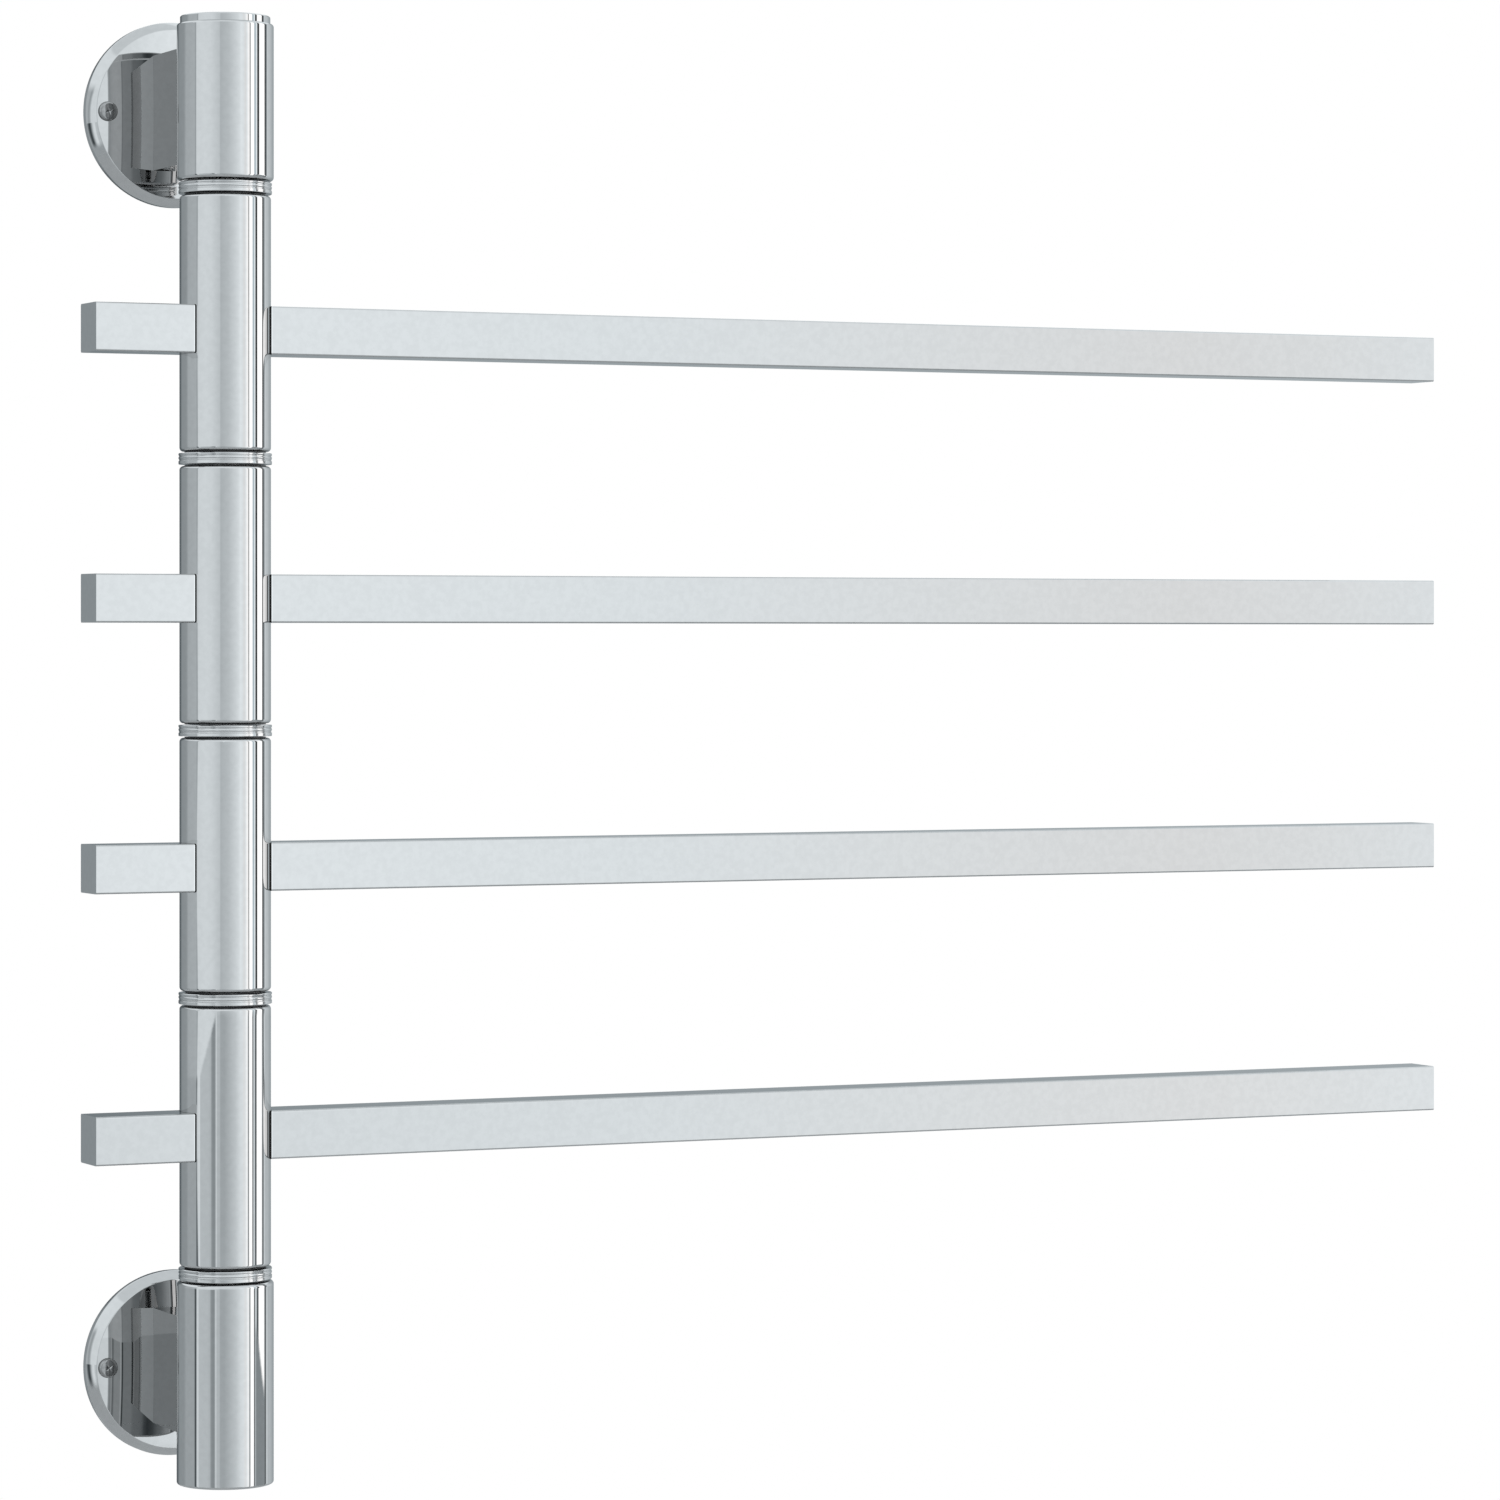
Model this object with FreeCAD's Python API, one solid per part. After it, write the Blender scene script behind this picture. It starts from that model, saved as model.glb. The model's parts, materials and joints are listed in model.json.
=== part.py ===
import FreeCAD, Part
import os
from FreeCAD import Vector

# Swivel heated towel rail: four square bars swing on one wall-mounted column.
#
# Millimetres. The origin is the middle of the lower wall plate's back face. +X runs along the
# bars, +Y goes into the wall and +Z is up, so the room is on the -Y side. Pieces that come in
# fours or fives are numbered from the top.

# ---------------------------------------------------------------- driving dimensions
# Heated bars
bar_size = 20.0            # outside of the square tube
bar_wall = 1.5
bar_corner = 0.8           # rounding of the tube's long edges
bar_pitch = 110.8
bar_count = 4
top_bar_z = 434.3
stub_reach = 59.1          # column axis to the short end
arm_reach = 579.3          # column axis to the long end
end_plate = 1.5            # thickness of the plate that closes an end
end_plug = 8.0             # how far its plug goes into the tube

# Column
axis_to_wall = 67.5
sleeve_r = 18.85
sleeve_wall = 2.0
sleeve_round = 1.6
sleeve_lengths = (105.8, 106.2, 104.5, 107.7)      # the top sleeve first
ring_r = 19.25
ring_height = 4.6
ring_groove = 0.3
ring_chamfer = 0.2
stack_gap = 0.7            # between a ring and the sleeve or housing beside it
housing_r = 20.0
housing_wall = 3.0
top_housing_foot = 496.0
top_housing_top = 560.9
bottom_housing_foot = -42.2
housing_round = 1.8        # at the ends that meet the rings
housing_outer_round = 1.1  # at the top and bottom of the column
cap_r = 18.6
cap_height = 3.2
cap_round = 0.6
cap_wall = 2.0
cap_depth = 8.0            # how far either cap's plug goes into its housing
cap_recess = 0.5           # the bottom cap sits this far inside the housing

# Mast and what holds it
mast_r = 6.0
mast_bore_r = 4.5
mast_foot = 20.0
mast_top = 522.0
running_gap = 0.05         # radial clearance of a bush on the mast
mast_hole_r = 6.6          # the hole that the mast passes through in each bar
wire_slot = (4.0, 10.0)    # width and height of the slot where wires leave the mast
bush_height = 8.0
bush_proud = 0.35          # how far a bush stands out of its sleeve
hub_height = 10.0
nut_flats = 18.0
nut_height = 8.0
washer_thickness = 1.0
washer_rise = 0.6
fixed_gap = 0.05           # between neighbours that are pressed or welded together

# Heating rods
rod_r = 3.5
rod_start = 14.0
rod_end = 560.0
clip_places = (60.0, 300.0, 540.0)
clip_thickness = 2.0

# Wall brackets
upper_plate_z = 528.9
arm_width = 22.0
arm_height = 48.5
arm_wall = 2.0
cover_rim_r = 39.2
cover_rim_depth = 3.2      # the upright part of the rim, before the bevel
cover_face_r = 35.8
cover_depth = 7.6          # wall to the edge of the face
cover_dome = 1.5           # how far the middle of the face stands out
cover_edge_round = 0.3     # between the bevel and the face
cover_wall = 1.8
wall_plate_r = 34.5
wall_plate_thickness = 4.0
wall_hole_circle_r = 23.0
wall_hole_r = 2.5
screw_offset = 31.0
screw_r = 1.75
screw_head_r = 4.1
screw_head_height = 2.2
screw_seat = 7.7           # wall to the underside of the heads
screw_point = 0.5          # the screws end this far from the wall
recess_length = 4.0
recess_width = 0.9
recess_depth = 1.4

# Wiring
grommet_bore_r = 4.5
grommet_r = 8.0
grommet_flange_r = 10.5
grommet_flange = 2.0
earth_screw_z = -16.0
cable_r = 3.0
cable_bend_r = 18.0
cable_top = 440.0
cable_hole_r = 6.0
terminal_near = 22.0       # distances from the wall of the terminal block's two faces
terminal_far = 36.0
terminal_height = 26.0
terminal_width = 15.0
terminal_pitch = 8.0

column_y = -axis_to_wall
bar_inside = bar_size - 2 * bar_wall
bush_r = sleeve_r - sleeve_wall - fixed_gap
hub_r = housing_r - housing_wall - fixed_gap
X_AXIS = Vector(1, 0, 0)
Y_AXIS = Vector(0, 1, 0)
Z_AXIS = Vector(0, 0, 1)


# ---------------------------------------------------------------- shapes used more than once
def post(radius, z_low, z_high):
    """A round bar on the column's axis."""
    return Part.makeCylinder(radius, z_high - z_low, Vector(0, column_y, z_low))


def pipe(outer_r, inner_r, z_low, z_high):
    return post(outer_r, z_low, z_high).cut(post(inner_r, z_low - 1, z_high + 1))


def block(x_span, y_span, z_span):
    spans = (x_span, y_span, z_span)
    sizes = [high - low for low, high in spans]
    return Part.makeBox(*sizes, Vector(*[low for low, high in spans]))


def across(radius, x, z, y_low, y_high):
    """A round bar that runs towards the wall."""
    return Part.makeCylinder(radius, y_high - y_low, Vector(x, y_low, z), Y_AXIS)


def along(radius, z, x_low, x_high):
    """A round bar that runs the same way as the heated bars."""
    return Part.makeCylinder(radius, x_high - x_low, Vector(x_low, column_y, z), X_AXIS)


def square_bar(size, corner, z, x_low, x_high):
    """A square bar through the column's axis, with its long edges rounded."""
    half = size / 2
    solid = block((x_low, x_high), (column_y - half, column_y + half), (z - half, z + half))
    long_edges = [e for e in solid.Edges if abs(e.tangentAt(e.FirstParameter).x) > 0.99]
    return solid.makeFillet(corner, long_edges)


def round_end(shape, radius, z, rounding):
    """Rounds the outer edge of a turned piece at one height."""
    edges = []
    for edge in shape.Edges:
        curve = edge.Curve
        if isinstance(curve, Part.Circle) and abs(curve.Radius - radius) < 1e-6 and abs(curve.Center.z - z) < 1e-6:
            edges.append(edge)
    return shape.makeFillet(rounding, edges)


def turned(profile, centre, axis):
    """Revolves a closed outline about an axis."""
    return Part.Face(Part.Wire(profile)).revolve(centre, axis, 360)


def turned_on_mast(points):
    """Revolves (radius, height) points about the column's axis."""
    corners = [Vector(r, column_y, z) for r, z in points]
    outline = Part.makePolygon(corners + corners[:1])
    return turned(outline, Vector(0, column_y, 0), Z_AXIS)


# ---------------------------------------------------------------- swinging arms
def sleeve(z_low, z_high, bar_z):
    tube = pipe(sleeve_r, sleeve_r - sleeve_wall, z_low, z_high)
    tube = round_end(tube, sleeve_r, z_low, sleeve_round)
    tube = round_end(tube, sleeve_r, z_high, sleeve_round)
    window = square_bar(bar_size + 2 * fixed_gap, bar_corner, bar_z, -stub_reach, stub_reach)
    return tube.cut(window)


def heated_bar(z):
    low = -stub_reach + end_plate
    high = arm_reach - end_plate
    tube = square_bar(bar_size, bar_corner, z, low, high)
    tube = tube.cut(square_bar(bar_inside, bar_corner / 2, z, low - 1, high + 1))
    return tube.cut(post(mast_hole_r, z - bar_size, z + bar_size))


def end_cap(z, x_outer, inward):
    """A flush end plate with a plug; inward is +1 or -1, the way that the plug points."""
    x_plate = x_outer + inward * end_plate
    x_plug = x_plate + inward * end_plug
    plate = square_bar(bar_size, bar_corner, z, min(x_outer, x_plate), max(x_outer, x_plate))
    plug_size = bar_inside - 2 * fixed_gap
    plug = square_bar(plug_size, bar_corner, z, min(x_outer, x_plug), max(x_outer, x_plug))
    return plate.fuse(plug).removeSplitter()


def bush(z_face, inward):
    """A bearing pressed into one end of a sleeve, with a weight-saving pocket on its inner side."""
    z_back = z_face + inward * bush_height
    z_pocket = z_face + inward * bush_height / 2
    disc = pipe(bush_r, mast_r + running_gap, min(z_face, z_back), max(z_face, z_back))
    pocket_r = (bush_r + mast_r) / 2
    pocket = pipe(pocket_r + 2.5, pocket_r - 2.5, min(z_pocket, z_back), max(z_pocket, z_back))
    return disc.cut(pocket)


def rod_clips(z):
    clips = []
    for x in clip_places:
        clip = square_bar(bar_inside - 2 * fixed_gap, bar_corner, z, x, x + clip_thickness)
        clips.append(clip.cut(along(rod_r + fixed_gap, z, x - 1, x + clip_thickness + 1)))
    return Part.makeCompound(clips)


def swinging_arm(number, z_low, z_high, bar_z):
    return {
        f"swivel_sleeve_{number}": sleeve(z_low, z_high, bar_z),
        f"heated_bar_{number}": heated_bar(bar_z),
        f"stub_end_cap_{number}": end_cap(bar_z, -stub_reach, 1),
        f"arm_end_cap_{number}": end_cap(bar_z, arm_reach, -1),
        f"upper_bush_{number}": bush(z_high + bush_proud, -1),
        f"lower_bush_{number}": bush(z_low - bush_proud, 1),
        f"heating_rod_{number}": along(rod_r, bar_z, rod_start, rod_end),
        f"rod_clips_{number}": rod_clips(bar_z),
    }


# ---------------------------------------------------------------- column
def spacer_ring(z):
    """A thin ring between two sleeves, with one fine groove a little below its middle."""
    bore = mast_r + 2 * fixed_gap
    groove_top = z + 0.45 * ring_height
    groove_foot = groove_top - ring_groove
    inside = ring_r - ring_groove
    chamfered = ring_r - ring_chamfer
    top = z + ring_height
    return turned_on_mast([
        (bore, z), (chamfered, z), (ring_r, z + ring_chamfer),
        (ring_r, groove_foot), (inside, groove_foot), (inside, groove_top), (ring_r, groove_top),
        (ring_r, top - ring_chamfer), (chamfered, top), (bore, top),
    ])


def housing(z_low, z_high, low_round, high_round):
    tube = pipe(housing_r, housing_r - housing_wall, z_low, z_high)
    tube = round_end(tube, housing_r, z_low, low_round)
    return round_end(tube, housing_r, z_high, high_round)


def bottom_housing(z_high):
    shell = housing(bottom_housing_foot, z_high, housing_outer_round, housing_round)
    return shell.cut(across(cable_hole_r, 0, 0, column_y, column_y + 2 * housing_r))


def top_cap():
    flange_top = top_housing_top + cap_height
    flange = post(cap_r, top_housing_top, flange_top)
    flange = round_end(flange, cap_r, flange_top, cap_round)
    return flange.fuse(pipe(hub_r, hub_r - cap_wall, top_housing_top - cap_depth, top_housing_top))


def bottom_cap():
    foot = bottom_housing_foot + cap_recess
    plug = post(hub_r, foot, foot + cap_depth)
    return plug.cut(post(hub_r - cap_wall, foot + cap_wall, foot + cap_depth + 1))


def hub(z_low):
    return pipe(hub_r, mast_r + fixed_gap, z_low, z_low + hub_height)


def mast(bar_heights):
    tube = pipe(mast_r, mast_bore_r, mast_foot, mast_top)
    width, height = wire_slot
    for z in bar_heights:
        slot = block((0, mast_r + 1), (column_y - width / 2, column_y + width / 2), (z - height / 2, z + height / 2))
        tube = tube.cut(slot)
    return tube


def hex_nut(z_low):
    corner_r = nut_flats / 3 ** 0.5
    prism = Part.Face(Part.makePolygon([
        Vector(corner_r, 0, 0), Vector(corner_r / 2, nut_flats / 2, 0), Vector(-corner_r / 2, nut_flats / 2, 0),
        Vector(-corner_r, 0, 0), Vector(-corner_r / 2, -nut_flats / 2, 0), Vector(corner_r / 2, -nut_flats / 2, 0),
        Vector(corner_r, 0, 0),
    ])).extrude(Vector(0, 0, nut_height))
    prism.translate(Vector(0, column_y, z_low))
    return prism.cut(post(mast_r + fixed_gap, z_low - 1, z_low + nut_height + 1))


def spring_washer(z):
    """A shallow cone under the top nut that keeps the stack pressed together."""
    inner = mast_r + 2 * fixed_gap
    outer = inner + 5
    return turned_on_mast([
        (outer, z), (outer, z + washer_thickness),
        (inner, z + washer_thickness + washer_rise), (inner, z + washer_rise),
    ])


# ---------------------------------------------------------------- wall brackets
def cover_envelope(z, rim_r, face_r, rim_depth, depth):
    """A dish with a short upright rim, a bevel and a slightly domed face, as a full solid."""
    dome_r = (face_r ** 2 + cover_dome ** 2) / (2 * cover_dome)
    halfway = cover_dome - dome_r + (dome_r ** 2 - face_r ** 2 / 4) ** 0.5
    centre = Vector(0, 0, z)
    rim = Vector(rim_r, 0, z)
    shoulder = Vector(rim_r, -rim_depth, z)
    edge = Vector(face_r, -depth, z)
    peak = Vector(0, -depth - cover_dome, z)
    outline = [
        Part.makeLine(centre, rim),
        Part.makeLine(rim, shoulder),
        Part.makeLine(shoulder, edge),
        Part.Arc(edge, Vector(face_r / 2, -depth - halfway, z), peak).toShape(),
        Part.makeLine(peak, centre),
    ]
    return turned(Part.Wire(outline), centre, Y_AXIS)


def cover_plate(z):
    outside = cover_envelope(z, cover_rim_r, cover_face_r, cover_rim_depth, cover_depth)
    level_edges = [e for e in outside.Edges if e.BoundBox.YLength < 0.01]
    face_edge = [e for e in level_edges if abs(e.BoundBox.YMin + cover_depth) < 0.01]
    outside = outside.makeFillet(cover_edge_round, face_edge)
    inside_r = (cover_rim_r - cover_wall, cover_face_r - cover_wall)
    inside = cover_envelope(z, *inside_r, cover_rim_depth - cover_wall / 2, cover_depth - cover_wall)
    dish = outside.cut(inside)
    half_width = arm_width / 2 - arm_wall
    half_height = arm_height / 2 - arm_wall
    dish = dish.cut(block((-half_width, half_width), (-20, 0), (z - half_height, z + half_height)))
    for x in (-screw_offset, screw_offset):
        dish = dish.cut(across(screw_r + 0.35, x, z, -20, 0))
        dish = dish.cut(across(screw_head_r + 0.1, x, z, -20, -screw_seat + fixed_gap))
    return dish


def bracket_arm(z):
    """A rectangular tube, coped to the housing at one end and to the domed cover at the other."""
    half_width = arm_width / 2
    half_height = arm_height / 2
    reach = (column_y, -cover_depth)
    outside = block((-half_width, half_width), reach, (z - half_height, z + half_height))
    half_width -= arm_wall
    half_height -= arm_wall
    tube = outside.cut(block((-half_width, half_width), reach, (z - half_height, z + half_height)))
    tube = tube.cut(post(housing_r + fixed_gap, z - arm_height, z + arm_height))
    depths = (cover_rim_depth, cover_depth + fixed_gap)
    return tube.cut(cover_envelope(z, cover_rim_r, cover_face_r, *depths))


def wall_plate(z):
    plate = across(wall_plate_r, 0, z, -wall_plate_thickness, 0)
    diagonal = wall_hole_circle_r / 2 ** 0.5
    for x in (-diagonal, diagonal):
        for dz in (-diagonal, diagonal):
            plate = plate.cut(across(wall_hole_r, x, z + dz, -wall_plate_thickness, 0))
    for x in (-screw_offset, screw_offset):
        plate = plate.cut(across(screw_r + fixed_gap, x, z, -wall_plate_thickness, 0))
    return plate


def lower_wall_plate():
    plate = wall_plate(0)
    plate = plate.cut(across(grommet_r + fixed_gap, 0, 0, -wall_plate_thickness, 0))
    return plate.cut(across(screw_r + fixed_gap, 0, earth_screw_z, -wall_plate_thickness, 0))


def pan_screw(x, z, seat):
    """A cross-head screw; seat is the distance of the underside of its head from the wall."""
    front = -seat - screw_head_height
    head = across(screw_head_r, x, z, front, -seat)
    rim = [e for e in head.Edges if abs(e.BoundBox.YMax - front) < 1e-6 and e.Length > screw_head_r]
    head = head.makeFillet(1.0, rim)
    screw = head.fuse(across(screw_r, x, z, -seat - 0.5, -screw_point))
    floor = front + recess_depth
    half_length = recess_length / 2
    half_width = recess_width / 2
    screw = screw.cut(block((x - half_length, x + half_length), (front, floor), (z - half_width, z + half_width)))
    return screw.cut(block((x - half_width, x + half_width), (front, floor), (z - half_length, z + half_length)))


def cover_screws():
    places = [(x, z) for z in (0, upper_plate_z) for x in (-screw_offset, screw_offset)]
    return Part.makeCompound([pan_screw(x, z, screw_seat) for x, z in places])


# ---------------------------------------------------------------- wiring
def cable_grommet():
    body = across(grommet_r, 0, 0, -wall_plate_thickness, 0)
    flange_front = -wall_plate_thickness - grommet_flange
    body = body.fuse(across(grommet_flange_r, 0, 0, flange_front, -wall_plate_thickness))
    return body.cut(across(grommet_bore_r, 0, 0, flange_front - 1, 1))


def terminal_block():
    left = -arm_width / 2 + arm_wall
    half_height = terminal_height / 2
    body = block((left, left + terminal_width), (-terminal_far, -terminal_near), (-half_height, half_height))
    middle_x = left + terminal_width / 2
    middle_y = -(terminal_near + terminal_far) / 2
    for z in (-terminal_pitch, 0, terminal_pitch):
        body = body.cut(across(1.6, middle_x, z, -terminal_far, -terminal_near))
        well = Part.makeCylinder(1.8, terminal_width / 2, Vector(middle_x, middle_y, z), X_AXIS)
        body = body.cut(well)
    return body


def wiring_harness():
    """One sheathed cable: out of the terminal block, round one bend and up inside the mast."""
    start = Vector(0, -terminal_far, 0)
    bend_in = Vector(0, column_y + cable_bend_r, 0)
    bend_out = Vector(0, column_y, cable_bend_r)
    inset = cable_bend_r * (1 - 0.5 ** 0.5)
    bend_middle = Vector(0, column_y + inset, inset)
    route = Part.Wire([
        Part.makeLine(start, bend_in),
        Part.Arc(bend_in, bend_middle, bend_out).toShape(),
        Part.makeLine(bend_out, Vector(0, column_y, cable_top)),
    ])
    section = Part.Wire(Part.makeCircle(cable_r, start, Y_AXIS))
    return route.makePipeShell([section], True, True)


# ---------------------------------------------------------------- the whole rail
def all_pieces():
    pieces = {}
    bar_heights = [top_bar_z - n * bar_pitch for n in range(bar_count)]
    z = top_housing_foot
    for number, (length, bar_z) in enumerate(zip(sleeve_lengths, bar_heights), start=1):
        ring_foot = z - stack_gap - ring_height
        sleeve_top = ring_foot - stack_gap
        sleeve_foot = sleeve_top - length
        pieces[f"spacer_ring_{number}"] = spacer_ring(ring_foot)
        pieces.update(swinging_arm(number, sleeve_foot, sleeve_top, bar_z))
        z = sleeve_foot
    last_ring_foot = z - stack_gap - ring_height
    housing_top = last_ring_foot - stack_gap
    pieces[f"spacer_ring_{bar_count + 1}"] = spacer_ring(last_ring_foot)

    hub_top = top_housing_foot + hub_height
    washer_top = hub_top + washer_thickness + washer_rise
    pieces["mast"] = mast(bar_heights)
    pieces["top_housing"] = housing(top_housing_foot, top_housing_top, housing_round, housing_outer_round)
    pieces["top_hub"] = hub(top_housing_foot)
    pieces["spring_washer"] = spring_washer(hub_top)
    pieces["mast_nuts"] = Part.makeCompound([
        hex_nut(washer_top), hex_nut(housing_top - hub_height - nut_height),
    ])
    pieces["top_cap"] = top_cap()
    pieces["bottom_housing"] = bottom_housing(housing_top)
    pieces["bottom_hub"] = hub(housing_top - hub_height)
    pieces["bottom_cap"] = bottom_cap()

    for place, centre_z in (("upper", upper_plate_z), ("lower", 0)):
        pieces[f"{place}_bracket_arm"] = bracket_arm(centre_z)
        pieces[f"{place}_cover_plate"] = cover_plate(centre_z)
    pieces["upper_wall_plate"] = wall_plate(upper_plate_z)
    pieces["lower_wall_plate"] = lower_wall_plate()
    pieces["cover_screws"] = cover_screws()
    pieces["cable_grommet"] = cable_grommet()
    pieces["earth_screw"] = pan_screw(0, earth_screw_z, wall_plate_thickness)
    pieces["terminal_block"] = terminal_block()
    pieces["wiring_harness"] = wiring_harness()
    return pieces


os.makedirs("parts", exist_ok=True)
pieces = all_pieces()
for name, shape in pieces.items():
    shape.exportStep(f"parts/{name}.step")
    print(f"{name:20s} solids {len(shape.Solids)}  valid {shape.isValid()}  volume {shape.Volume:10.1f}")
whole = Part.makeCompound(list(pieces.values())).BoundBox
print(f"{len(pieces)} nodes, box {whole.XLength:.1f} x {whole.YLength:.1f} x {whole.ZLength:.1f} mm")
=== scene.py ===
# %% [markdown]
# # A swivel heated towel rail
# Four square bars swing on one wall-mounted column. The CAD model is already there, with every
# piece at its place, so this lesson only adds looks: the pieces that need finer edges than the
# CAD gives them, a finish for each material, and a small studio. Everything is in metres, with
# the wall at y = 0, the room on the -Y side and +Z up.

# %% Load the frame
import json
import math
import bpy
from mathutils import Matrix, Vector


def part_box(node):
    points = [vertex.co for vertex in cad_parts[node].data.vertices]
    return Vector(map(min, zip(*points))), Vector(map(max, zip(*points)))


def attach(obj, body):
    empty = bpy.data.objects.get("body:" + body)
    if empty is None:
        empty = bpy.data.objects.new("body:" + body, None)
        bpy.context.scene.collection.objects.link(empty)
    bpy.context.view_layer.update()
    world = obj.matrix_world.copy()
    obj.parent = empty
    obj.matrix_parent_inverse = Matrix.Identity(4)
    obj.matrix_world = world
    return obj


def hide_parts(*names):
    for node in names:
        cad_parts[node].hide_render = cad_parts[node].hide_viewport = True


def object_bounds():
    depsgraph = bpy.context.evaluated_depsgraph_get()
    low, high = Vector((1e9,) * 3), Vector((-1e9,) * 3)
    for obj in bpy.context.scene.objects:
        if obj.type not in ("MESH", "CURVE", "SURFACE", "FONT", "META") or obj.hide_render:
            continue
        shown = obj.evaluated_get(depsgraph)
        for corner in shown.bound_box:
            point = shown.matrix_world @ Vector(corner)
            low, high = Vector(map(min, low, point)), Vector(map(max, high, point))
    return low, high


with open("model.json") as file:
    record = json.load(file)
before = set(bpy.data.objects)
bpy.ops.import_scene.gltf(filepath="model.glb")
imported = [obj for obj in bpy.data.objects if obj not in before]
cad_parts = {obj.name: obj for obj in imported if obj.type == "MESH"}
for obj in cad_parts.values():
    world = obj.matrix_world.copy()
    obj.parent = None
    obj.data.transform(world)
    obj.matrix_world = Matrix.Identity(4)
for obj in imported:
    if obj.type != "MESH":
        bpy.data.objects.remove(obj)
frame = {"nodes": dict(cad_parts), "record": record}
nodes = frame["nodes"]
cad_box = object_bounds()
cad_low, cad_high = [[round(v, 4) for v in corner] for corner in cad_box]
print(len(nodes), "CAD pieces between", cad_low, "and", cad_high)

# %% [markdown]
# ## Shader maths as ordinary maths
# A finish is a graph of nodes. Written out node by node it is hard to read, so a wire stands for
# one output socket, and sums and comparisons of wires add their own Math nodes. Every other kind
# of node comes from one method that takes its settings and the values or wires of its inputs.


# %% Wires and graphs
class Wire:
    """One output of a shader node. Sums and comparisons of wires add Math nodes."""

    def __init__(self, graph, socket):
        self.graph = graph
        self.socket = socket

    def math(self, operation, *values):
        return self.graph.node("ShaderNodeMath", {"operation": operation}, dict(enumerate(values)))

    def __add__(self, other):
        return self.math("ADD", self, other)

    def __radd__(self, other):
        return self.math("ADD", other, self)

    def __sub__(self, other):
        return self.math("SUBTRACT", self, other)

    def __rsub__(self, other):
        return self.math("SUBTRACT", other, self)

    def __mul__(self, other):
        return self.math("MULTIPLY", self, other)

    def __rmul__(self, other):
        return self.math("MULTIPLY", other, self)

    def __lt__(self, other):
        return self.math("LESS_THAN", self, other)

    def __gt__(self, other):
        return self.math("GREATER_THAN", self, other)

    def ramp(self, low, high, start=0.0, end=1.0, curve="SMOOTHSTEP"):
        """Goes from start to end as this wire goes from low to high, and stays there."""
        inputs = {"Value": self, "From Min": low, "From Max": high, "To Min": start, "To Max": end}
        return self.graph.node("ShaderNodeMapRange", {"interpolation_type": curve}, inputs)


class Graph:
    """The node tree of one material, or of the world."""

    def __init__(self, owner):
        owner.use_nodes = True
        self.tree = owner.node_tree
        self.tree.nodes.clear()

    def node(self, kind, settings=None, inputs=None, output=0):
        made = self.tree.nodes.new(kind)
        for name, value in (settings or {}).items():
            if name == "stops":
                set_stops(made.color_ramp, value)
            else:
                setattr(made, name, value)
        for key, value in (inputs or {}).items():
            if isinstance(value, Wire):
                self.tree.links.new(value.socket, made.inputs[key])
            else:
                made.inputs[key].default_value = value
        return Wire(self, made.outputs[output] if made.outputs else None)

    def blend(self, amount, first, second):
        """The first colour where amount is 0 and the second where it is 1."""
        return self.node("ShaderNodeMix", {"data_type": "RGBA"}, {0: amount, 6: first, 7: second}, output=2)

    def noise(self, place, scale, detail=2.0):
        return self.node("ShaderNodeTexNoise", {}, {"Vector": place, "Scale": scale, "Detail": detail})


def set_stops(ramp, stops):
    while len(ramp.elements) < len(stops):
        ramp.elements.new(1.0)
    for element, (position, colour) in zip(ramp.elements, stops):
        element.position = position
        element.color = colour


print("shader helpers ready")

# %% [markdown]
# ## The studio
# Polished metal has no colour of its own: what shows is the room around it. The room here is a
# ring of plain grey boards, with tall white soft boxes on the right and narrow black edges
# between them. A tone goes by its compass direction in degrees, where 0 is straight out from the
# wall and 90 is along the bars, so every upright shows the same stripes from top to bottom.
# Boards could be built as meshes, but a painted world has no edges that come into view when the
# camera moves round. Each entry is a direction and a tone, written as it shows on the steel, from
# 0 for black to 255. A third number makes that tone more or less cool than the rest. A tone above
# 255 is a lamp that burns out to white.

# %% The tones of the two rings
steel_reflects = 0.42

upper_ring = [
    # on the left, the shaded side towards the wall
    (-180, 70), (-170, 90), (-162, 126), (-155, 131), (-135, 140), (-126, 163), (-97, 168),
    # a slim darker edge and the pale board on the left
    (-95.5, 150), (-93.5, 150), (-92, 205), (-70, 208), (-54, 205), (-33, 189),
    # the middle of the room, brighter towards the right
    (-31, 174), (-12, 184), (6, 204), (14, 214), (19, 225), (24, 221), (30, 215, 0.2), (33, 224),
    (37, 247), (40.6, 242),
    # a thin black edge and the first soft box
    (41.2, 40), (43.2, 40), (43.8, 262), (53, 262),
    # a bluish gap, a pale strip, a black edge and the second soft box
    (54, 165, 2.5), (57, 180, 2.5), (60.5, 236), (62.2, 232), (62.8, 35), (68.6, 25), (69.2, 262),
    (87.6, 262),
    # the last black edge, and greys that fall off towards the wall
    (88.4, 10), (92.2, 10), (93.2, 128), (98, 135), (100, 208), (105, 184), (112, 182), (120, 167),
    (135, 137), (146, 127), (152, 116), (158, 111), (160, 106), (162, 87), (170, 78), (180, 70),
]
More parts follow.
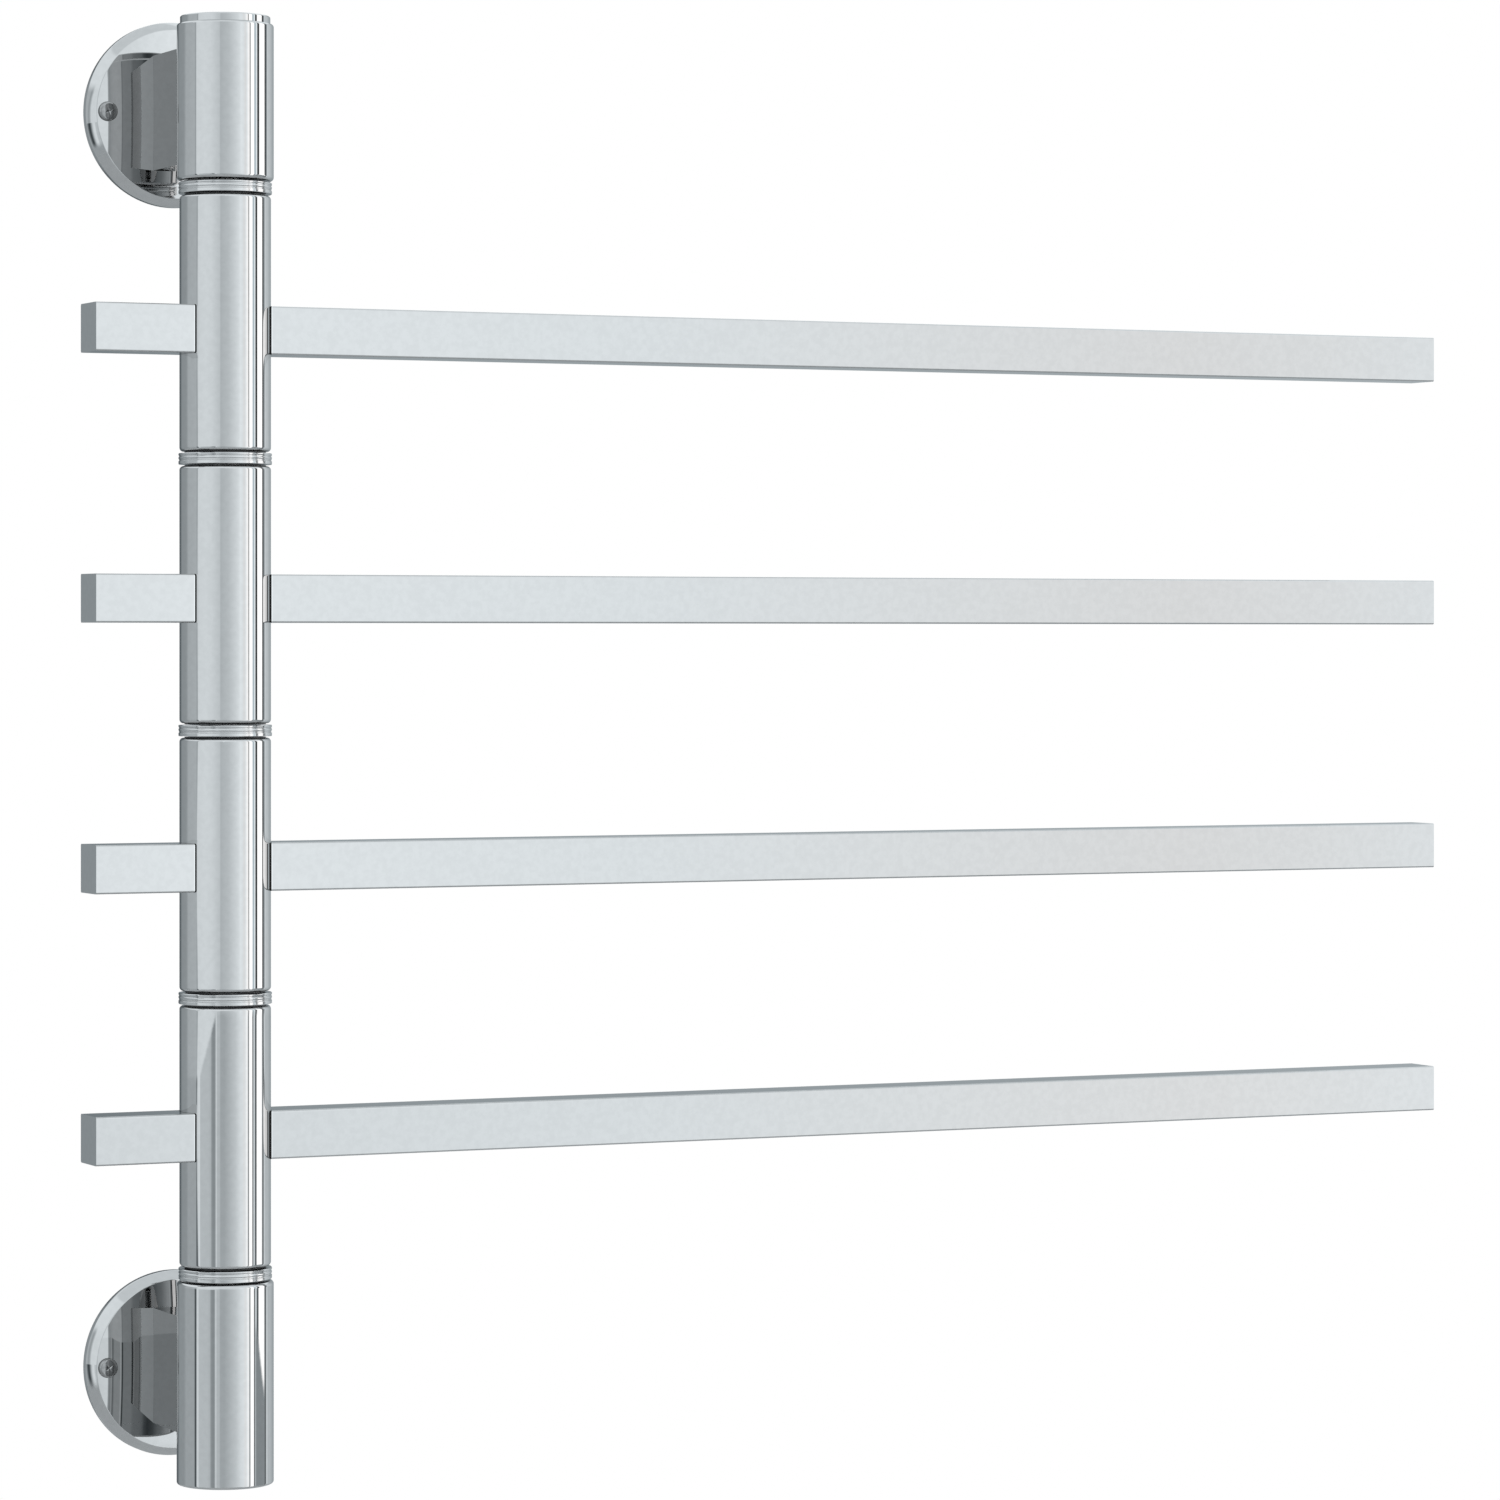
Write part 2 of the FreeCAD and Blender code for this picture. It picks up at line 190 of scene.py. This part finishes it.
lower_ring = [
    # on the left, the shaded side towards the wall
    (-180, 70), (-170, 90), (-162, 124), (-155, 132), (-135, 139), (-126, 155), (-98.5, 156),
    # a dark edge, a bright strip and the board on the left
    (-97, 110), (-95.5, 60), (-93.5, 60), (-92, 150), (-90, 200), (-87.5, 216), (-86, 187),
    (-83, 181), (-62, 180), (-56, 173),
    # a darker post and the bright edge beside it
    (-54, 145), (-51, 136), (-46, 133), (-44, 165), (-42, 210), (-40, 178), (-34, 177),
    # the middle of the room, brighter towards the right
    (-31, 160), (-22, 160), (-12, 171), (6, 192), (18, 213), (24, 218), (30, 219, 0.3), (33, 226),
    (37, 246), (40, 215),
    # the first soft box between its dark edges
    (40.6, 72), (42, 72), (42.8, 258), (52, 258), (53, 70), (55.5, 76), (57, 225), (60, 200),
    # the second soft box between its dark edges
    (62, 88), (66, 66), (67.5, 258), (85, 258), (88.5, 150), (89.2, 8), (92, 8),
    # greys that fall off towards the wall
    (93.5, 160), (98, 202), (103, 174), (112, 172), (120, 162), (135, 133), (146, 124), (152, 112),
    (158, 99), (162, 88), (170, 78), (180, 70),
]
print(len(upper_ring), "and", len(lower_ring), "tones")


# %% Light from tones
# Tones above lamp_tone are lamps and stay neutral. The others get this much more red, green and blue.
lamp_tone = 240
cool_shift = (-5, 1, 4)


def linear(value):
    """Turns a display value from 0 to 1 into an amount of light."""
    return value / 12.92 if value <= 0.04045 else ((value + 0.055) / 1.055) ** 2.4


def light(tone, cool=1.0):
    """The light that shows as a tone; all but the lamps is a little cool, or as cool as asked."""
    if tone > lamp_tone:
        cool = 0
    red, green, blue = [linear(max(tone + cool * shift, 0) / 255) for shift in cool_shift]
    return (red, green, blue, 1.0)


def turn(degrees):
    return (degrees + 180) / 360


def ring(g, compass, tones):
    """A colour ramp holds 32 stops, so a longer ring is two ramps that meet at a shared stop."""
    middle = len(tones) // 2
    stops = [(turn(degrees), light(*tone)) for degrees, *tone in tones]
    left = g.node("ShaderNodeValToRGB", {"stops": stops[:middle + 1]}, {0: compass})
    right = g.node("ShaderNodeValToRGB", {"stops": stops[middle:]}, {0: compass})
    return g.blend(compass > stops[middle][0], left, right)


print("a mid grey of 128 is", round(light(128)[1], 3), "of white light")

# %% [markdown]
# The lower ring takes over a few degrees under the horizon, and a grey board stands low on the
# right. Steep directions are plain: a pale ceiling above, and the floor below. A height is the z
# of a ray one unit long, so 0 is level, 1 is straight up and -0.07 is four degrees under the
# horizon. The camera itself sees pure white behind the rail, as in a catalogue.

# %% Paint the world
def add_low_board(g, compass, z, rings):
    """A grey board low on the right, with soft edges."""
    top = compass.ramp(turn(56), turn(89), -0.121, -0.132)
    left_end = compass.ramp(turn(54), turn(61))
    right_end = compass.ramp(turn(89), turn(88.5))
    return g.blend((top - z).ramp(0, 0.004) * left_end * right_end, rings, light(131))


def add_ceiling_and_floor(g, z, rings):
    """Plain tones for the high walls, the ceiling and the floor, each fading in over a height."""
    depth = 0 - z
    for height, start, full, tone in ((z, 0.35, 0.5, 212), (z, 0.83, 0.86, 192), (depth, 0.36, 0.46, 150)):
        rings = g.blend(height.ramp(start, full), rings, light(tone))
    return rings


def paint_world():
    world = bpy.data.worlds.new("studio")
    bpy.context.scene.world = world
    g = Graph(world)
    ray = g.node("ShaderNodeTexCoord", output="Generated")
    x, y, z = [g.node("ShaderNodeSeparateXYZ", {}, {0: ray}, output=axis) for axis in "XYZ"]
    compass = x.math("ARCTAN2", x, 0 - y) * (1 / math.tau) + 0.5
    border = compass.ramp(turn(-87), turn(-41), -0.0776, -0.066, curve="LINEAR")
    under = (border - z).ramp(0, 0.002)
    rings = g.blend(under, ring(g, compass, upper_ring), ring(g, compass, lower_ring))
    rings = add_low_board(g, compass, z, rings)
    painted = add_ceiling_and_floor(g, z, rings)
    room = g.node("ShaderNodeBackground", {}, {"Color": painted, "Strength": 1 / steel_reflects})
    white = g.node("ShaderNodeBackground", {}, {"Color": (1, 1, 1, 1), "Strength": 1.0})
    seen = g.node("ShaderNodeLightPath", output="Is Camera Ray")
    shown = g.node("ShaderNodeMixShader", {}, {0: seen, 1: room, 2: white})
    g.node("ShaderNodeOutputWorld", {}, {"Surface": shown})


paint_world()
scene = bpy.context.scene
scene.view_settings.view_transform = "Standard"
print("world painted for steel that reflects", steel_reflects)

# %% [markdown]
# ## Floor, soft light and camera
# The rail hangs about a metre up, so the pale floor is well below it and fades out to white
# before its edge could show. One large soft light overhead adds to the even light of the room.
# The camera is level and on the left of the column, with a long lens. The lens is shifted down a
# little instead of the camera being tilted, which keeps every upright parallel.

# %% Floor and light
def deselect():
    bpy.ops.object.select_all(action="DESELECT")


def apply_place():
    """Moves the selected object's place, turn and scale into its mesh."""
    bpy.ops.object.transform_apply(location=True, rotation=True, scale=True)


def lay_floor(height=-0.9, radius=3.4):
    deselect()
    middle = (0, 0, height)
    bpy.ops.mesh.primitive_circle_add(vertices=96, radius=radius, fill_type="NGON", location=middle)
    floor = bpy.context.object
    floor.name = "floor"
    apply_place()
    material = bpy.data.materials.new("pale_floor")
    g = Graph(material)
    place = g.node("ShaderNodeTexCoord", output="Object")
    away = g.node("ShaderNodeVectorMath", {"operation": "LENGTH"}, {0: place}, output="Value")
    cloudy = g.noise(place, 1.6, 3.0)
    colour = g.blend(cloudy, (0.46, 0.463, 0.466, 1), (0.50, 0.503, 0.506, 1))
    matt = g.node("ShaderNodeBsdfDiffuse", {}, {"Color": colour})
    clear = g.node("ShaderNodeBsdfTransparent")
    faded = away.ramp(0.45 * radius, 0.98 * radius)
    surface = g.node("ShaderNodeMixShader", {}, {0: faded, 1: matt, 2: clear})
    g.node("ShaderNodeOutputMaterial", {}, {"Surface": surface})
    floor.data.materials.append(material)


lay_floor()
soft_box = bpy.data.lights.new("soft_box", "AREA")
soft_box.shape = "DISK"
soft_box.size = 1.6
soft_box.energy = 30
soft_box_object = bpy.data.objects.new("soft_box", soft_box)
soft_box_object.location = (-0.5, -1.5, 2.4)
soft_box_object.rotation_euler = (math.radians(-30), 0, 0)
soft_box_object.visible_glossy = False
scene.collection.objects.link(soft_box_object)
print("floor and soft box placed")

# %% Camera
view_from = Vector((-0.770, -2.2275, 0.3063))
lens = bpy.data.cameras.new("camera")
lens.sensor_width = 36.0
lens.lens = 132.5
lens.shift_y = -0.0732
lens.clip_end = 50
camera = bpy.data.objects.new("camera", lens)
camera.location = view_from
camera.rotation_euler = (math.radians(90), 0, math.radians(-25.05))
scene.collection.objects.link(camera)
scene.camera = camera
print("camera at", [round(v, 3) for v in view_from], "with a", lens.lens, "mm lens")

# %% [markdown]
# ## Finishes for metal
# Every metal here is one recipe with other numbers: a base colour that drifts between two close
# tones, a roughness that drifts with it, and a very fine bump. What differs is the size and the
# direction of the grain, so the recipe takes a grain in each direction. Polished steel keeps its
# roughness so low that the stripes of the room stay sharp, but not the same all over, because a
# real polish always leaves faint haze and a slight orange peel. Where a bar enters its sleeve, the
# finish of the bars paints a near-black line of shade for the narrow gap, with a painted highlight
# beside it. Both follow the sleeve, a cylinder, so they are found from the distance to the column's axis.


# %% Metal recipe
finishes = {}


def paint_joint_shade(g, place, colour, axis_y, radius, width=0.0006):
    """Painted shade and highlight: a near-black line just outside an upright cylinder for the shade in the
    joint gap, with a paler painted highlight line beside it.
    """
    x = g.node("ShaderNodeSeparateXYZ", {}, {0: place}, output="X")
    y = g.node("ShaderNodeSeparateXYZ", {}, {0: place}, output="Y") - axis_y
    beyond = x.math("SQRT", x * x + y * y) - radius
    # painted highlight: a paler line just beside the painted joint shade
    painted_highlight_line = g.blend(beyond < 1.5 * width, colour, (0.55, 0.55, 0.55, 1))
    # painted shade: near black in the narrow gap where a bar enters its sleeve
    return g.blend(beyond < width, painted_highlight_line, (0.01, 0.01, 0.01, 1))


def metal(name, dark, pale, rough, grain, bump, haze, joint_shade_at=None):
    """dark and pale are colours, rough is (least, most), grain is cycles per metre along x, y and z.
    haze is the scale and strength of large smoky patches. The last argument is the y of an upright
    axis and the radius around it at which the painted joint shade and its painted highlight run."""
    material = bpy.data.materials.new(name)
    g = Graph(material)
    place = g.node("ShaderNodeTexCoord", output="Object")
    stretched = g.node("ShaderNodeMapping", {}, {"Vector": place, "Scale": grain})
    fine = g.noise(stretched, 1.0, 3.0)
    cloud = g.noise(place, haze[0], 4.0)
    colour = g.blend(fine.ramp(0.3, 0.7), (*dark, 1), (*pale, 1))
    if joint_shade_at:
        # painted shade in the joint gap, with a painted highlight beside it
        colour = paint_joint_shade(g, place, colour, *joint_shade_at)
    roughness = fine.ramp(0.3, 0.7, *rough) + cloud.ramp(0.5, 0.75, 0.0, haze[1])
    relief = g.node("ShaderNodeBump", {}, {"Height": fine, "Strength": 1.0, "Distance": bump})
    inputs = {"Base Color": colour, "Metallic": 1.0, "Roughness": roughness, "Normal": relief}
    surface = g.node("ShaderNodeBsdfPrincipled", {}, inputs)
    g.node("ShaderNodeOutputMaterial", {}, {"Surface": surface})
    finishes[name] = material


def greys(low, high):
    return (low, low, low), (high, high, high)


sleeve_low, sleeve_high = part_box("swivel_sleeve_1")
column_y = (sleeve_low.y + sleeve_high.y) / 2
sleeve_r = (sleeve_high.x - sleeve_low.x) / 2
polish = {"rough": (0.006, 0.012), "grain": (420, 420, 420), "bump": 3e-7, "haze": (7, 0.01)}
metal("polished_steel", *greys(0.41, 0.43), **polish)
# the bars carry the painted shade of the joint gap and a painted highlight beside it
metal("polished_bar", *greys(0.41, 0.43), **polish, joint_shade_at=(column_y, sleeve_r))
metal("satin_steel", *greys(0.31, 0.33), rough=(0.02, 0.035), grain=(900, 900, 900), bump=2e-7,
      haze=(25, 0.02))
metal("satin_ring", *greys(0.43, 0.46), rough=(0.12, 0.16), grain=(300, 300, 2500), bump=2e-7,
      haze=(30, 0.02))
metal("screw_steel", *greys(0.22, 0.27), rough=(0.03, 0.05), grain=(900, 900, 900), bump=3e-7,
      haze=(60, 0.03))
metal("mast_steel", *greys(0.42, 0.50), rough=(0.22, 0.34), grain=(1500, 1500, 40), bump=6e-6,
      haze=(12, 0.1))
metal("plated_steel", (0.44, 0.45, 0.46), (0.58, 0.58, 0.56), rough=(0.24, 0.4),
      grain=(260, 260, 260), bump=6e-6, haze=(40, 0.12))
metal("clip_steel", *greys(0.30, 0.38), rough=(0.25, 0.35), grain=(60, 1500, 1500), bump=5e-6,
      haze=(30, 0.1))
metal("rod_steel", (0.30, 0.27, 0.24), (0.42, 0.38, 0.33), rough=(0.3, 0.42),
      grain=(40, 1200, 1200), bump=6e-6, haze=(9, 0.12))
print(len(finishes), "metal finishes")

# %% [markdown]
# ## Finishes for plastic and rubber
# The moulded parts hide inside the column and the brackets. Their surface is a faint pebble from
# the mould with a dust-dull patch here and there, which shows as roughness.


# %% Plastic recipe
def moulded(name, dark, pale, rough, pebble, bump):
    """pebble is cycles per metre, and the dull patches are a twelfth as fine."""
    material = bpy.data.materials.new(name)
    g = Graph(material)
    place = g.node("ShaderNodeTexCoord", output="Object")
    fine = g.noise(place, pebble, 2.0)
    cloud = g.noise(place, pebble / 12, 3.0)
    colour = g.blend(cloud.ramp(0.35, 0.7), (*dark, 1), (*pale, 1))
    relief = g.node("ShaderNodeBump", {}, {"Height": fine, "Strength": 0.6, "Distance": bump})
    inputs = {"Base Color": colour, "Roughness": cloud.ramp(0.3, 0.7, *rough), "Normal": relief}
    surface = g.node("ShaderNodeBsdfPrincipled", {}, inputs)
    g.node("ShaderNodeOutputMaterial", {}, {"Surface": surface})
    finishes[name] = material


moulded("bearing_polymer", (0.022, 0.022, 0.024), (0.04, 0.04, 0.043), rough=(0.35, 0.5),
        pebble=1200, bump=2e-5)
moulded("grommet_rubber", (0.018, 0.018, 0.018), (0.034, 0.033, 0.032), rough=(0.6, 0.8),
        pebble=900, bump=4e-5)
moulded("terminal_polymer", (0.66, 0.63, 0.55), (0.75, 0.72, 0.64), rough=(0.3, 0.42),
        pebble=1000, bump=2e-5)
moulded("cable_sheath", (0.58, 0.56, 0.50), (0.68, 0.66, 0.61), rough=(0.4, 0.55),
        pebble=700, bump=3e-5)
print(len(finishes), "finishes in all")

# %% [markdown]
# ## Each piece gets its finish
# The record names the material of every piece, and each finish has the name of its material. So
# one loop dresses the whole rail. Only the bars differ: theirs is the polish with the painted joint shade
# and painted highlight.

# %% Give every CAD piece its finish
slots = {part["node"]: part["material_slot"] for part in frame["record"]["subparts"]}
for name, node in nodes.items():
    finish = "polished_bar" if name.startswith("heated_bar") else slots[name]
    for material_slot in node.material_slots:
        material_slot.material = finishes[finish]
print("finished", len(slots), "CAD pieces")

# %% [markdown]
# ## Turned pieces
# A ring, a cover or a screw head is round, so half of its outline describes it, as on a lathe.
# Here a circle takes the first point of the outline, and each further point is one extrusion that
# is lifted and resized, the way a potter draws up a wall. It gives clean four-sided faces in
# rings. The Spin operator would do the same from a drawn outline, but leaves a seam to merge.


# %% Lathe
def lathe(name, outline, steps=160):
    """Turns (radius, height) points about the z axis through the origin, as an object in edit mode."""
    deselect()
    first_radius, height = outline[0]
    bpy.ops.mesh.primitive_circle_add(vertices=steps, radius=first_radius, fill_type="NOTHING",
                                      location=(0, 0, height))
    piece = bpy.context.object
    piece.name = piece.data.name = name
    apply_place()
    bpy.ops.object.mode_set(mode="EDIT")
    bpy.ops.mesh.select_all(action="SELECT")
    radius = first_radius
    for next_radius, next_height in outline[1:]:
        bpy.ops.mesh.extrude_region_move(TRANSFORM_OT_translate={"value": (0, 0, next_height - height)})
        scale = next_radius / radius
        bpy.ops.transform.resize(value=(scale, scale, 1), center_override=(0, 0, 0))
        radius, height = next_radius, next_height
    return piece


def close_up():
    """Merges rings that meet, closes open ends, turns every face outwards and ends the editing."""
    bpy.ops.mesh.select_all(action="SELECT")
    bpy.ops.mesh.remove_doubles(threshold=1e-6)
    bpy.ops.mesh.fill_holes(sides=0)
    bpy.ops.mesh.normals_make_consistent(inside=False)
    bpy.ops.object.mode_set(mode="OBJECT")


def arc(centre, radius, start, end, steps):
    """Outline points on an arc, in degrees from straight outwards."""
    angles = [math.radians(start + (end - start) * step / steps) for step in range(steps + 1)]
    return [(centre[0] + radius * math.cos(a), centre[1] + radius * math.sin(a)) for a in angles]


def select_only(piece):
    deselect()
    piece.select_set(True)
    bpy.context.view_layer.objects.active = piece


def smooth(piece, angle):
    """Shades edges smooth that turn by less than an angle in degrees."""
    select_only(piece)
    bpy.ops.object.shade_smooth_by_angle(angle=math.radians(angle))


def place_copy(master, name, matrix):
    """A copy with a mesh of its own, put in place with its object left at the origin."""
    piece = master.copy()
    piece.data = master.data.copy()
    piece.name = piece.data.name = name
    scene.collection.objects.link(piece)
    piece.matrix_world = matrix
    select_only(piece)
    apply_place()
    return piece


def dress(piece, finish, body, *replaced):
    """Gives a piece its finish and its body, and hides the CAD nodes that it stands for."""
    piece.data.materials.clear()
    piece.data.materials.append(finishes[finish])
    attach(piece, body)
    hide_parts(*replaced)


print("lathe ready")

# %% [markdown]
# ## Spacer rings
# Between two sleeves sits a thin satin ring with a soft bead and a fine groove under it. The
# groove is only a third of a millimetre deep, but it is what tells the eye that the sleeves are
# separate and can turn. The ring is modelled once at the origin and copied to its five places.

# %% Ring outline
mm = 0.001
ring_low, ring_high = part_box("spacer_ring_1")
ring_r = (ring_high.x - ring_low.x) / 2
ring_height = ring_high.z - ring_low.z
bore_r = 6.1 * mm
edge = 0.2 * mm
groove_r = ring_r - 0.32 * mm
neck_r = ring_r - 0.22 * mm
bead_r = 0.85 * mm
bead_z = 2.65 * mm
ring_outline = [(bore_r, 0), (ring_r - edge, 0), (ring_r, edge)]
ring_outline += [(ring_r, 1.3 * mm), (ring_r - 0.1 * mm, 1.4 * mm)]
ring_outline += [(groove_r, 1.45 * mm), (groove_r, 1.65 * mm), (neck_r, 1.75 * mm)]
ring_outline += arc((ring_r - bead_r, bead_z), bead_r, -45, 45, 8)
ring_outline += [(neck_r, 3.6 * mm), (ring_r - 0.05 * mm, 3.75 * mm), (ring_r, 3.85 * mm)]
ring_outline += [(ring_r, ring_height - edge), (ring_r - edge, ring_height)]
ring_outline += [(bore_r, ring_height), (bore_r, 0)]
print("ring", round(ring_r * 2000, 2), "mm across and", round(ring_height * 1000, 2), "mm high")

# %% Turn and place the rings
ring_master = lathe("ring", ring_outline)
close_up()
smooth(ring_master, 30)
for number in range(1, 6):
    low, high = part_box(f"spacer_ring_{number}")
    where = Matrix.Translation(((low.x + high.x) / 2, (low.y + high.y) / 2, low.z))
    piece = place_copy(ring_master, f"grooved_ring_{number}", where)
    dress(piece, "satin_ring", "frame", f"spacer_ring_{number}")
bpy.data.objects.remove(ring_master)
print("five rings of", len(piece.data.polygons), "faces")

# %% [markdown]
# ## Cover plates
# The round covers are pressed from sheet: an upright rim, a bevel and a very slightly domed face.
# Because the face is polished it mirrors the column and the arm, and a mirror shows every facet
# of its mesh. So the covers are turned again here with many more rings than the CAD mesh has, and
# with small rounds on both edges of the bevel. The opening for the arm and the seats for the
# screws are cut afterwards, while the shape is still one plain turned piece. The opening stays
# inside the outline of the arm, so the arm hides its edge.

# %% Cover outline
cover_low, cover_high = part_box("upper_cover_plate")
cover_r = (cover_high.x - cover_low.x) / 2
cover_peak = 9.1 * mm
dome = 1.5 * mm
sheet = 1.8 * mm
rim_height = 3.2 * mm
lip_height = 2.3 * mm
face_r = cover_r - 3.4 * mm
face_edge = cover_peak - dome
face_curve = (face_r ** 2 + dome ** 2) / (2 * dome)


def face_height(radius):
    """Height of the domed face above the wall at a distance from its middle."""
    return cover_peak - face_curve + math.sqrt(face_curve ** 2 - radius ** 2)


face_rings = 28
first_r = 0.3 * mm
last_r = face_r - 0.35 * mm
face_radii = [first_r + (last_r - first_r) * step / face_rings for step in range(face_rings + 1)]
face_radii.append(face_r - 0.25 * mm)
# the inside of the face, from the middle outwards
cover_outline = [(r, face_height(r) - sheet) for r in face_radii if r < face_r - sheet]
# along the inside to the foot of the rim, up it, and round both edges of the bevel
cover_outline += [(face_r - sheet, face_edge - sheet), (cover_r - sheet, lip_height)]
cover_outline += [(cover_r - sheet, 0), (cover_r, 0), (cover_r, rim_height - 0.3 * mm)]
cover_outline += [(cover_r - 0.03 * mm, rim_height - 0.1 * mm)]
cover_outline += [(cover_r - 0.15 * mm, rim_height + 0.15 * mm)]
cover_outline += [(face_r + 0.15 * mm, face_edge - 0.2 * mm)]
cover_outline += [(face_r + 0.04 * mm, face_edge - 0.07 * mm)]
cover_outline += [(face_r - 0.08 * mm, face_edge - 0.01 * mm)]
# the face itself, back to the middle
cover_outline += [(r, face_height(r)) for r in reversed(face_radii)]
print("cover", round(cover_r * 2000, 1), "mm across and", round(cover_peak * 1000, 1), "mm deep")

# %% Tools that cut the covers
arm_low, arm_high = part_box("upper_bracket_arm")
arm_inset = 2 * mm
opening_width = arm_high.x - arm_low.x - 2 * arm_inset
opening_height = arm_high.z - arm_low.z - 2 * arm_inset
cut_from = 2 * mm
cut_to = 15 * mm


def cut_away(piece, tool):
    """Cuts one object out of another and removes the tool."""
    select_only(piece)
    cut = piece.modifiers.new("cut", "BOOLEAN")
    cut.operation = "DIFFERENCE"
    cut.solver = "EXACT"
    cut.object = tool
    bpy.ops.object.modifier_apply(modifier=cut.name)
    bpy.data.objects.remove(tool)


def arm_block():
    """A block as wide as the opening for the arm."""
    deselect()
    bpy.ops.mesh.primitive_cube_add(size=1, location=(0, 0, (cut_from + cut_to) / 2))
    block = bpy.context.object
    block.scale = (opening_width, opening_height, cut_to - cut_from)
    apply_place()
    return block


def drill(x, radius, bottom):
    """A cylinder from a height above the wall up through the face."""
    deselect()
    middle = (x, 0, (bottom + cut_to) / 2)
    depth = cut_to - bottom
    bpy.ops.mesh.primitive_cylinder_add(vertices=64, radius=radius, depth=depth, location=middle)
    apply_place()
    return bpy.context.object


print("opening", round(opening_width * 1000, 1), "by", round(opening_height * 1000, 1), "mm")

# %% Turn, cut and place the covers
screw_low, screw_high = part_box("cover_screws")
head_r = 4.1 * mm
head_height = 2.2 * mm
screw_x = screw_high.x - head_r
seat_height = cover_high.y - screw_low.y - head_height - 0.05 * mm
cover_master = lathe("cover", cover_outline, steps=192)
close_up()
cut_away(cover_master, arm_block())
for x in (-screw_x, screw_x):
    cut_away(cover_master, drill(x, 2.1 * mm, cut_from))
    cut_away(cover_master, drill(x, head_r + 0.1 * mm, seat_height))
smooth(cover_master, 20)
facing_room = Matrix.Rotation(math.radians(90), 4, "X")
for level in ("upper", "lower"):
    low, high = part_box(f"{level}_cover_plate")
    where = Matrix.Translation((0, high.y, (low.z + high.z) / 2))
    piece = place_copy(cover_master, f"{level}_domed_cover", where @ facing_room)
    dress(piece, "polished_steel", "frame", f"{level}_cover_plate")
bpy.data.objects.remove(cover_master)
print("two covers of", len(piece.data.polygons), "faces")

# %% [markdown]
# ## Cover screws
# Each round cover is held by two pan-head screws with a cross recess. The head is turned, and the
# recess is a four-pointed star that narrows towards its floor, cut out with a Boolean. No two
# screws stop at the same angle, so each head is turned a little differently.

# %% The star that cuts the recess
star_r = 5.7 * mm
star_waist = 0.38
star_depth = 1.55 * mm
star_tip = 0.05


def star_cutter():
    """A four-pointed tapered plug, point down, from a millimetre above the head."""
    deselect()
    middle = (0, 0, head_height + mm)
    bpy.ops.mesh.primitive_circle_add(vertices=8, radius=star_r, fill_type="NGON", location=middle)
    star = bpy.context.object
    apply_place()
    bpy.ops.object.mode_set(mode="EDIT")
    bpy.ops.mesh.select_all(action="DESELECT")
    bpy.ops.object.mode_set(mode="OBJECT")
    for corner in star.data.vertices:
        is_diagonal = abs(abs(corner.co.x) - abs(corner.co.y)) < 1e-5
        corner.select = is_diagonal
    bpy.ops.object.mode_set(mode="EDIT")
    bpy.ops.transform.resize(value=(star_waist, star_waist, 1), center_override=(0, 0, 0))
    bpy.ops.mesh.select_all(action="SELECT")
    bpy.ops.mesh.extrude_region_move(TRANSFORM_OT_translate={"value": (0, 0, -star_depth)})
    bpy.ops.transform.resize(value=(star_tip, star_tip, 1), center_override=(0, 0, 0))
    bpy.ops.mesh.select_all(action="SELECT")
    bpy.ops.mesh.normals_make_consistent(inside=False)
    bpy.ops.object.mode_set(mode="OBJECT")
    return star


print("star cutter", round(star_r * 2000, 1), "mm across at its top")

# %% Turn one screw
shank_r = 1.75 * mm
shank_length = 7.5 * mm
dome_r = 30 * mm
dome_centre = head_height - dome_r
corner_r = 1.0 * mm
shoulder = math.degrees(math.asin((head_r - corner_r) / (dome_r - corner_r)))
corner_z = dome_centre + (dome_r - corner_r) * math.cos(math.radians(shoulder))
screw_outline = [(0.2 * mm, -shank_length), (1.2 * mm, -shank_length)]
screw_outline += [(shank_r, -shank_length + 0.6 * mm), (shank_r, 0)]
screw_outline += [(head_r - 0.1 * mm, 0), (head_r, 0.1 * mm)]
screw_outline += arc((head_r - corner_r, corner_z), corner_r, 0, 90 - shoulder, 5)
screw_outline += arc((0, dome_centre), dome_r, 90 - shoulder * 7 / 8, 90 - shoulder / 8, 6)
screw_master = lathe("screw", screw_outline, steps=64)
close_up()
print("screw outline of", len(screw_outline), "points")

# %% Cut the recess and place the screws
cut_away(screw_master, star_cutter())
smooth(screw_master, 30)
seat_y = screw_low.y + head_height
for level, angle_left, angle_right in (("upper", 22, 61), ("lower", 35, 8)):
    low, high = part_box(f"{level}_cover_plate")
    for side, x, angle in (("left", -screw_x, angle_left), ("right", screw_x, angle_right)):
        spun = Matrix.Rotation(math.radians(angle), 4, "Z")
        where = Matrix.Translation((x, seat_y, (low.z + high.z) / 2))
        piece = place_copy(screw_master, f"{level}_{side}_screw", where @ facing_room @ spun)
        dress(piece, "screw_steel", "frame", "cover_screws")
bpy.data.objects.remove(screw_master)
print("four screws of", len(piece.data.polygons), "faces")
